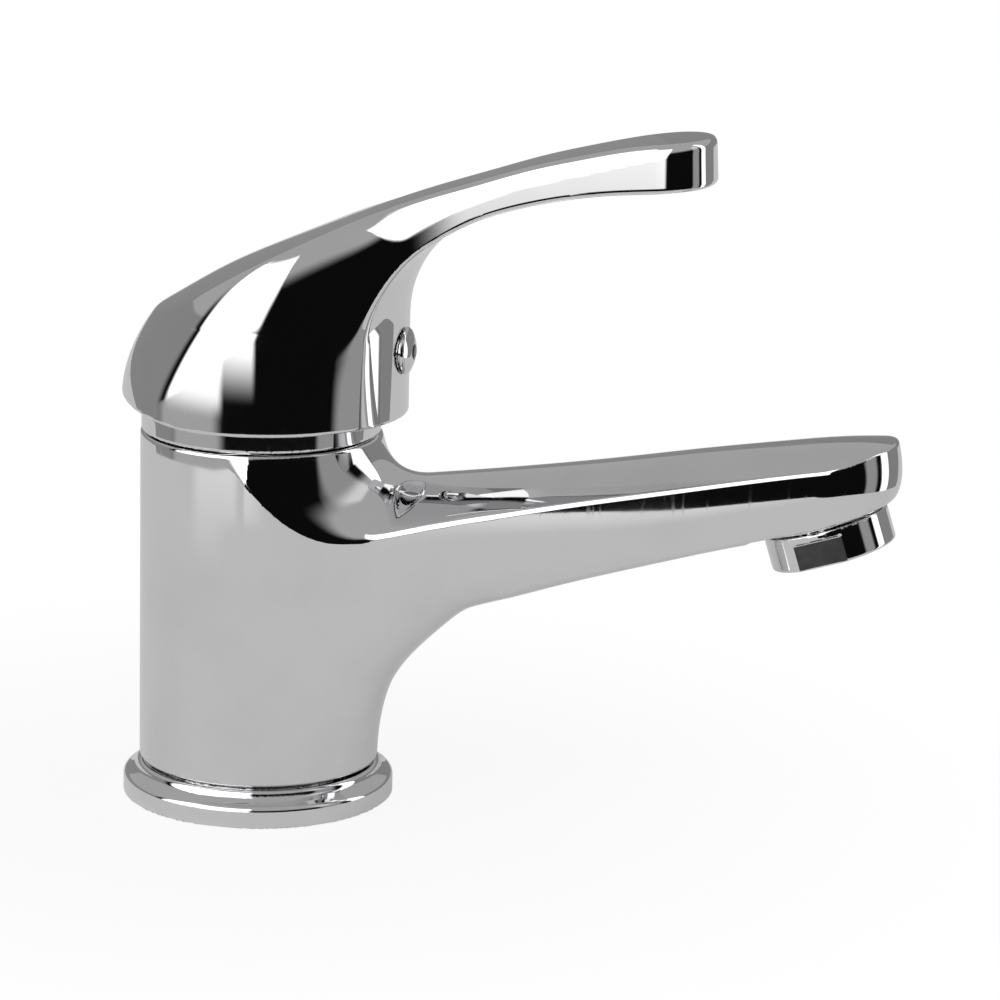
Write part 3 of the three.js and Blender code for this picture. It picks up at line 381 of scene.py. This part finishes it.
# ---------------------------------------------------------------------------------------
# The lever handle: a zinc casting, plated like the body.  A deep round cap covers the
# cartridge, and its back and sides sweep up into one long flat lever.  A boss inside the
# cap grips the cartridge's stem with a grub screw.
# ---------------------------------------------------------------------------------------
handle_low, handle_high = span("handle")
CAP_X = 0.8                                   # the cap's centre is just ahead of the barrel's
CAP = CAP_X - handle_low[0]
RIM, RIM_LIFT = handle_low[2], 3.2            # the rim rises by this much at the back
REACH = handle_high[0]
TIP_LENGTH, TIP_HALF = 12, 10.6               # of the lever's rounded end
TOP_SLOPE = 1 / np.sqrt(1 + 0.42 ** 2)        # the top's usual steepness, to keep lengths true
CAVITY, ROOF = 25.5, 5.0                      # inside of the cap, and how thick its roof is
STEM_TOP = span("lever_stem")[1][2]
SOCKET_X, SOCKET_Y = 3.8, 4.3                 # half sizes of the boss's socket for the stem
GRIP_BACK, GRIP_FRONT, GRIP_HALF, GRIP_FOOT = 8, 12, 8, 88.0
BUTTON_Z = (span("index_plug")[0][2] + span("index_plug")[1][2]) / 2
SCREW, BUTTON_SEAT, SEAT_X = 2.8, 4.2, 13     # bores for the grub screw and the button
LAYERS_TOP = 125.0                            # of the sheared cells, clear above the lever

# The lever's lines, each over x: the heights of its top and underside, its half width, how
# much its top is domed, how round its long edge is, and how steep that edge's upper side.
lever_top = curve([(-34, 89.5), (-27, 94.2), (-20.8, 98.3), (-15, 102.0), (-7.7, 106.4), (0.3, 110.3),
                   (10.7, 114.7), (21, 119.0), (32, 123.4), (45.1, 128.0), (55, 131.3),
                   (65, 134.0), (75, 136.3), (83, 137.4), (90, 137.8), (98, 137.6)])
crown_bend = curve([(-30, 0.014), (-20, 0.012), (-10, 0.008), (0, 0.004), (10, 0.0018),
                    (30, 0.0015), (98, 0.0015)])
flank = curve([(-12.6, 24.8), (-8.4, 26.65), (-4.2, 27.75), (0.8, 28.2), (5.8, 27.7), (10, 26.5),
               (15.5, 23.8), (20.5, 19.7), (23.5, 16.8), (26.5, 14.3), (30, 12.5), (35, 11.2),
               (45, 10.3), (60, 10.2), (80, 10.5), (98, 10.6)])
lever_under = curve([(-30, 60), (0, 84), (18, 99), (26, 106.2), (32, 111.6), (38.2, 116.2),
                     (44, 119.6), (51, 122.4), (58, 124.4), (65.5, 126.0), (73, 127.1),
                     (80, 127.8), (85, 128.3), (98, 129.2)])
edge_round = curve([(-30, 10), (-10, 9.6), (0, 8.2), (15, 7.2), (27, 6.2), (38, 4.4), (50, 3.6),
                    (75, 3.0), (84, 2.0), (98, 1.2)])
upright = curve([(-30, 0.8), (-15, 0.7), (0, 0.58), (20, 0.58), (35, 0.75), (50, 0.9), (98, 0.9)])


def lever_plan(x, y, z):
    """Seen from above: the round cap, and the blade with its blunt end, both with draft."""
    cap = np.hypot(x - CAP_X, y) - CAP
    lean = flank(x + 0.5) - flank(x - 0.5)
    blade = (np.abs(y) - flank(x)) / np.sqrt(1 + lean ** 2)
    tip = REACH - TIP_LENGTH
    past = np.clip(x - tip, 0, None) / TIP_LENGTH
    blunt = (past ** 2.5 + (np.abs(y) / TIP_HALF) ** 2.5) ** 0.4
    blade = np.where(x > tip, np.maximum((blunt - 1) * TIP_HALF, blade), blade)
    plan = np.where(x < CAP_X, cap, blade)
    draft = 0.0025 * np.clip(z - RIM, 0, 20) ** 2 * (1 - ramp(x, 14, 34))
    return plan + draft + 0.05 * (z - lever_under(x)) * ramp(x, 28, 44)


def lever_shell(x, y, z, over_top):
    """The handle from outside: plan and top, cut by its front, its underside and its rim."""
    top = over_top * TOP_SLOPE
    radius = edge_round(x)
    shape = rounded(lever_plan(x, y, z), (top - 0.134 * radius) * upright(x), radius)
    shape = rounded(shape, top, 0.35)
    front = np.hypot(x - CAP_X - 0.6, y) - CAP + 0.6 - 3 * (1 - ramp(x, 10, 19))
    under = (lever_under(x) - z) * 0.8
    shape = rounded(shape, fused(front, under, 8.0), 0.7)
    rim = RIM + RIM_LIFT * np.clip((-5 - x) / 22.4, 0, 1) ** 1.6
    return rounded(shape, rim - z, 0.5)


def lever_casting(x, y, z):
    """The handle with its cavity, the boss that grips the stem, and the screw's bore."""
    over_top = z - lever_top(x) + crown_bend(x) * y ** 2
    shape = lever_shell(x, y, z, over_top)
    bore = np.hypot(x - 0.4, y) - CAVITY
    roof = (over_top + ROOF) * TOP_SLOPE
    cavity = np.maximum(rounded(bore, roof, 9.0), z - STEM_TOP - 0.2)
    shape = without(shape, cavity)
    boss = np.maximum(np.maximum(np.abs(y) - GRIP_HALF, GRIP_FOOT - z),
                      np.maximum(-GRIP_BACK - x, x - GRIP_FRONT))
    shape = np.minimum(shape, np.maximum(boss, over_top * TOP_SLOPE + 2))
    socket = np.maximum(np.abs(x) - SOCKET_X, np.abs(y) - SOCKET_Y)
    shape = without(shape, np.maximum(socket, z - STEM_TOP - 0.3))
    along = np.hypot(y, z - BUTTON_Z)
    screw = np.maximum(np.maximum(along - SCREW, 3.5 - x), x - SEAT_X)
    return without(without(shape, screw), np.maximum(along - BUTTON_SEAT, SEAT_X - x), 0.2)


def along_blade(x):
    """How far the lever's lower edge has risen since it left the cap."""
    return lever_under(np.clip(x, 30, REACH)) - lever_under(30)


handle = skin("lever_handle", lever_casting, handle_low, (REACH, CAP, LAYERS_TOP), 0.5,
              follow=along_blade)
handle.data.materials.append(chrome)
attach(handle, "lever")
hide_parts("handle")


# ---------------------------------------------------------------------------------------
# The base flange and the cover collar: two thin turned brass rings, plated.  The flange
# spreads the body's foot on the deck; the collar hides the cartridge nut under the cap.
# ---------------------------------------------------------------------------------------
flange_low, flange_high = span("base_flange")
FLANGE, FLANGE_TOP = flange_high[0], flange_high[2]
FLANGE_WALL = 4.2                             # height of its outer edge
BEAD = 0.8                                    # the small round bead against the barrel
GROOVE_Z, GROOVE_HALF, GROOVE_DEPTH = 3.95, 1.05, 2.1
RECESS_OUT, RECESS_HALF, RECESS_HEIGHT = 3.2, 1.8, 1.8


def flange_ring(x, y, z):
    radius = np.hypot(x, y)
    inward = np.clip((FLANGE - radius) / (FLANGE - BARREL), 0, 1)
    rise = (FLANGE_TOP - 0.5 - FLANGE_WALL) * inward ** 1.5
    disc = rounded(radius - FLANGE, (z - FLANGE_WALL - rise) * 0.85, 0.7)
    bead = np.hypot(radius - BARREL + 0.2, z - FLANGE_TOP + BEAD) - BEAD
    ring = np.maximum(fused(disc, bead, 0.5), -z)
    ring = without(ring, radius - SPIGOT - 0.3)
    groove = np.maximum(np.abs(z - GROOVE_Z) - GROOVE_HALF, radius - SPIGOT - GROOVE_DEPTH)
    recess = np.maximum(np.abs(radius - SPIGOT - RECESS_OUT) - RECESS_HALF, z - RECESS_HEIGHT)
    return without(without(ring, groove, 0.1), recess, 0.1)


flange = skin("foot_flange", flange_ring, flange_low, flange_high, 0.5)
cover_low, cover_high = span("cartridge_cover")
COLLAR, COLLAR_FOOT, COLLAR_TOP = cover_high[0], cover_low[2], cover_high[2]
COLLAR_SIDE = 4.8                             # height of its straight side, below the cone
CONE_OUT, CONE_UP = 6.0, 3.9
COLLAR_WALL = 1.3
NECK = 17.35                                  # radius of its opening at the top


def collar_ring(x, y, z):
    radius = np.hypot(x, y)
    side = COLLAR_FOOT + COLLAR_SIDE
    cone = (z - side) * CONE_OUT + (radius - COLLAR) * CONE_UP
    cone = cone / math.hypot(CONE_OUT, CONE_UP)
    ring = rounded(rounded(radius - COLLAR, cone, 1.2), z - COLLAR_TOP, 0.5)
    ring = rounded(ring, COLLAR_FOOT - z, 0.3)
    inner = rounded(radius - COLLAR + COLLAR_WALL, cone + COLLAR_WALL, 0.6)
    inner = np.maximum(inner, z - COLLAR_TOP + COLLAR_WALL)
    return without(without(ring, inner, 0.2), radius - NECK, 0.2)


collar = skin("cover_collar", collar_ring, cover_low, cover_high, 0.45)
for ring, node in ((flange, "base_flange"), (collar, "cartridge_cover")):
    ring.data.materials.append(chrome)
    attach(ring, "mixer_body")
    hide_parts(node)


# ---------------------------------------------------------------------------------------
# The aerator: a plated brass ring screwed into the outlet face, with two spanner flats
# cut into its sides down to the lower edge.  It holds a black plastic core behind a mesh.
# ---------------------------------------------------------------------------------------
RING = 12.2
LENGTH = 7.0                                  # below the outlet's face
MALE_THREAD, THREAD_WAVE, PITCH, THREAD_TOP = 10.7, 0.12, 1.0, 5.5
FLAT_DEPTH, FLAT_TOP = 1.0, -1.7              # the spanner flats
OPENING, CORE_SEAT, LIP = 8.3, 9.2, 2.2       # the lip below holds the core in its seat


def aerator_ring(x, y, z):
    radius = np.hypot(x, y)
    ring = rounded(rounded(radius - RING, -LENGTH - z, 0.5), z + 0.25, 0.2)
    thread = MALE_THREAD + THREAD_WAVE * np.sin(2 * math.pi * z / PITCH)
    ring = np.minimum(ring, np.maximum(np.maximum(radius - thread, z - THREAD_TOP), -1 - z))
    flat = np.maximum(RING - FLAT_DEPTH - np.abs(y), z - FLAT_TOP)
    ring = without(ring, np.maximum(flat, -LENGTH - 2 - z), 0.15)
    ring = without(ring, radius - OPENING, 0.3)
    return without(ring, np.maximum(radius - CORE_SEAT, -LENGTH + LIP - z), 0.1)


outlet_place = Matrix.Translation(Vector(OUTLET)) @ Matrix.Rotation(-TILT, 4, "Y")
aerator = skin("aerator_ring", aerator_ring, (-RING, -RING, -LENGTH), (RING, RING, THREAD_TOP),
               0.4, outlet_place)
milled = paint("milled_flat", lambda start, noise: {
    "Base_Color": noise(500, 2).between((0.05, 0.05, 0.052), (0.09, 0.09, 0.092)),
    "Metallic": 1.0,
    "Roughness": 0.28 + 0.1 * noise(1300, 1, (0.1, 1, 1)),
})
aerator.data.materials.append(chrome)
aerator.data.materials.append(milled)
for face in aerator.data.polygons:
    out = abs(face.center.y) * MM
    if abs(out - RING + FLAT_DEPTH) < 0.12 and abs(face.normal.y) > 0.97:
        face.material_index = 1
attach(aerator, "mixer_body")
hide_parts("aerator_shell")


# ---------------------------------------------------------------------------------------
# The index button: a domed plated plug pressed into the cap's front wall over the grub
# screw, with a small dark enamel dot in a drilled dimple.
# ---------------------------------------------------------------------------------------
plug_low, plug_high = span("index_plug")
BUTTON = plug_high[1]
BUTTON_TOP = plug_high[0]
FACE = BUTTON_TOP - 1.9                       # the cap's wall, which the button stands on
DOME = 1.5                                    # how far its middle stands above its edge
DOME_RADIUS = (BUTTON ** 2 + DOME ** 2) / (2 * DOME)
SHANK, DIMPLE, DIMPLE_DEPTH = 3.9, 1.5, 0.9


def button(x, y, z):
    along = np.hypot(y, z - BUTTON_Z)
    dome = np.sqrt((x - BUTTON_TOP + DOME_RADIUS) ** 2 + along ** 2) - DOME_RADIUS
    cap = rounded(rounded(dome, along - BUTTON, 0.5), FACE - x, 0.2)
    shank = np.maximum(np.maximum(along - SHANK, plug_low[0] - x), x - FACE - 0.5)
    dimple = np.maximum(along - DIMPLE, BUTTON_TOP - DIMPLE_DEPTH - x)
    return without(np.minimum(cap, shank), dimple, 0.15)


plug = skin("index_button", button, plug_low, plug_high, 0.2)
plug.data.materials.append(chrome)
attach(plug, "lever")
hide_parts("index_plug")

dot_low, dot_high = span("index_dot")
DOT, DOT_SAG = 1.2, 0.05


def dot_drop(x, y, z):
    along = np.hypot(y, z - BUTTON_Z)
    fill = dot_high[0] - DOT_SAG * (along / DOT) ** 2
    return rounded(np.maximum(along - DOT, dot_low[0] - x), x - fill, 0.25)


enamel = paint("dot_enamel", lambda start, noise: {
    "Base_Color": noise(900, 2).between((0.012, 0.012, 0.014), (0.03, 0.03, 0.034)),
    "Roughness": 0.12 + 0.1 * noise(1500, 1),
    "Coat_Weight": 0.5,
})
dot = skin("index_enamel", dot_drop, dot_low, dot_high, 0.12)
dot.data.materials.append(enamel)
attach(dot, "lever")
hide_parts("index_dot")


# ---------------------------------------------------------------------------------------
# What is inside: the ceramic cartridge, its seals and nut, the aerator's core and mesh.
# These keep their CAD shapes and take the finish of what they are made of.
# ---------------------------------------------------------------------------------------
brass = paint("machined_brass", lambda start, noise: {
    "Base_Color": noise(70, 3).between((0.62, 0.45, 0.20), (0.74, 0.56, 0.28)),
    "Metallic": 1.0,
    "Roughness": 0.2 + 0.14 * noise(1400, 1, (1, 1, 0.1)),
    "Normal": start.node("ShaderNodeBump", Height=noise(1600, 1, (1, 1, 0.05)), Strength=0.15,
                         Distance=0.0001),
})
steel = paint("plated_steel", lambda start, noise: {
    "Base_Color": noise(90, 3).between((0.42, 0.42, 0.43), (0.56, 0.56, 0.57)),
    "Metallic": 1.0,
    "Roughness": 0.24 + 0.16 * noise(1100, 2),
    "Normal": start.node("ShaderNodeBump", Height=noise(2000, 2), Strength=0.1, Distance=0.0001),
})
acetal = paint("moulded_acetal", lambda start, noise: {
    "Base_Color": noise(60, 4).between((0.74, 0.73, 0.69), (0.82, 0.81, 0.78)),
    "Roughness": 0.4 + 0.12 * noise(500, 3),
    "Subsurface_Weight": 0.05,
    "Normal": start.node("ShaderNodeBump", Height=noise(1800, 3), Strength=0.08, Distance=0.0001),
})
ceramic = paint("lapped_ceramic", lambda start, noise: {
    "Base_Color": noise(300, 4).between((0.80, 0.79, 0.76), (0.88, 0.87, 0.85)),
    "Roughness": 0.14 + 0.06 * noise(900, 3),
    "Coat_Weight": 0.3,
})
rubber = paint("black_rubber", lambda start, noise: {
    "Base_Color": noise(180, 4).between((0.012, 0.012, 0.012), (0.03, 0.03, 0.032)),
    "Roughness": 0.55 + 0.2 * noise(700, 3),
    "Normal": start.node("ShaderNodeBump", Height=noise(1500, 4), Strength=0.25, Distance=0.0001),
})
core_plastic = paint("core_plastic", lambda start, noise: {
    "Base_Color": noise(200, 3).between((0.05, 0.05, 0.055), (0.085, 0.085, 0.09)),
    "Roughness": 0.42 + 0.1 * noise(800, 3),
    "Normal": start.node("ShaderNodeBump", Height=noise(1700, 3), Strength=0.1, Distance=0.0001),
})
finishes = {
    "brass": brass, "steel": steel, "acetal": acetal, "ceramic": ceramic, "rubber": rubber,
    "chrome": chrome, "aerator_chrome": chrome, "dot_enamel": enamel,
}
for material in frame["record"]["materials"]:
    for node in material.get("nodes", []):
        if node in frame["nodes"]:
            held = frame["nodes"][node].data.materials
            held.clear()
            held.append(core_plastic if node == "aerator_core" else finishes[material["slot"]])


# ---------------------------------------------------------------------------------------
# The studio: a white paper sheet on the deck, which glows evenly and carries a painted pool of
# softbox light on its far part left of the camera; a large softbox left of the camera, a grey board
# and a bright strip on its right, grey walls behind the mixer, a grey ceiling, and the unlit room
# round the camera.  A bearing is in degrees from the camera towards its right.
# ---------------------------------------------------------------------------------------
VIEW_AZIMUTH = math.radians(14.0)
VIEW_ELEVATION = math.radians(14.1)
VIEW_ROLL = math.radians(1.33)
TARGET = Vector((48.8, 0.0, 63.7)) / MM
DISTANCE = 0.850
LENS, FILM = 156.8, 36

right_x, right_y = math.cos(VIEW_AZIMUTH), math.sin(VIEW_AZIMUTH)
front_x, front_y = math.sin(VIEW_AZIMUTH), -math.cos(VIEW_AZIMUTH)
level = math.cos(VIEW_ELEVATION)
back = Vector((front_x * level, front_y * level, math.sin(VIEW_ELEVATION)))
right = Vector((right_x, right_y, 0))
above = back.cross(right)
right, above = (right * math.cos(VIEW_ROLL) + above * math.sin(VIEW_ROLL),
                above * math.cos(VIEW_ROLL) - right * math.sin(VIEW_ROLL))
lens = bpy.data.cameras.new("studio_camera")
lens.lens, lens.sensor_width = LENS, FILM
lens.clip_start, lens.clip_end = 0.01, 20
camera = bpy.data.objects.new("studio_camera", lens)
turn = Matrix((right, above, back)).transposed().to_4x4()
camera.matrix_world = Matrix.Translation(TARGET + back * DISTANCE) @ turn
bpy.context.scene.collection.objects.link(camera)
bpy.context.scene.camera = camera

SHEET, SHEET_BEHIND = 0.312, 0.9              # metres: its reach, and how much more behind
corners = []
for bearing in range(-180, 180, 4):
    reach = SHEET + SHEET_BEHIND * ramp(abs(bearing), 112, 150)
    angle = VIEW_AZIMUTH - math.pi / 2 + math.radians(bearing)
    corners.append((reach * math.cos(angle), reach * math.sin(angle), 0.0))
mesh = bpy.data.meshes.new("studio_sheet")
mesh.from_pydata(corners, [], [list(range(len(corners)))])
floor = bpy.data.objects.new("studio_sheet", mesh)
bpy.context.scene.collection.objects.link(floor)

paper = bpy.data.materials.new("studio_paper")
paper.use_nodes = True
paper.node_tree.nodes.clear()
start = Value(paper.node_tree, None)
grain = start.node("ShaderNodeTexNoise", Scale=400.0)
sheet_lit = start.node("ShaderNodeBsdfDiffuse", Color=grain.between((0.50,) * 3, (0.53,) * 3))
lie_x, lie_y, _ = start.node("ShaderNodeTexCoord", output=3).parts()
rightward = lie_x * right_x + lie_y * right_y
nearer = lie_x * front_x + lie_y * front_y
away = start.math("SQRT", rightward * rightward + nearer * nearer)
bearing = start.math("ARCTAN2", rightward, nearer) * (180 / math.pi)
# Painted pool of light: the sheet's glow is made brighter on its far part on the softbox side,
# standing in for softbox light falling on the paper where the chrome reflects it.
painted_light_pool = away.step(0.27, 0.14) * bearing.band(-60, -4, 14)
glow_with_painted_pool = start.node("ShaderNodeEmission", Color=(0.95, 0.95, 0.95, 1), Strength=0.26 + 0.25 * painted_light_pool)
both = start.node("ShaderNodeAddShader", None, {0: sheet_lit, 1: glow_with_painted_pool})
white = start.node("ShaderNodeEmission", Color=(1, 1, 1, 1), Strength=1.0)
seen = start.node("ShaderNodeLightPath")      # 1 where the camera looks straight at it
plain = seen * (0.88 + 0.12 * away.step(0.1, 0.14))
mixed = start.node("ShaderNodeMixShader", None, {0: plain, 1: both, 2: white})
start.node("ShaderNodeOutputMaterial", Surface=mixed)
floor.data.materials.append(paper)

world = bpy.data.worlds.new("studio_room")
bpy.context.scene.world = world
world.use_nodes = True
world.node_tree.nodes.clear()
start = Value(world.node_tree, None)
east, north, up = start.node("ShaderNodeTexCoord").parts()
toward = east * front_x + north * front_y
across = east * right_x + north * right_y
bearing = start.math("ARCTAN2", across, toward) * (180 / math.pi)
lift = start.math("ARCSINE", up) * (180 / math.pi)

# Each light: its bearings, its brightness, and how far down and up it reaches.
above_wall = lift.step(18.5, 1.2)
wall = lift.band(-40, 28, 20)
room = 0.004 + 0.42 * lift.step(28, 20)       # unlit, and the ceiling overhead
softbox = bearing.band(-84, -4, 5) * 1.7 * lift.step(-5, 9) * (1.0 - lift.step(58, 8))
low_box = bearing.band(-84, -33, 7) * 1.2 * lift.step(-10, 3) * (1.0 - lift.step(-3, 7))
low_board = bearing.band(-90, -36, 12) * 0.42 * (1.0 - lift.step(-10, 3))
board = bearing.band(58, 78, 6) * 0.32 * lift.band(-30, 50, 8)
strip = bearing.band(88, 104, 3) * 1.5 * lift.band(-30, 60, 8)
right_wall = bearing.band(105, 200, 6) * (0.25 + 0.17 * above_wall) * wall
left_wall = bearing.band(-200, -92, 8) * (0.27 + 0.15 * above_wall) * wall
room = room + softbox + low_box + low_board + board + strip + right_wall + left_wall
seen = start.node("ShaderNodeLightPath")
sky = start.node("ShaderNodeBackground", Color=(1, 1, 1, 1),
                 Strength=room * (1.0 - seen) + seen)
start.node("ShaderNodeOutputWorld", Surface=sky)
bpy.context.scene.view_settings.view_transform = "Standard"
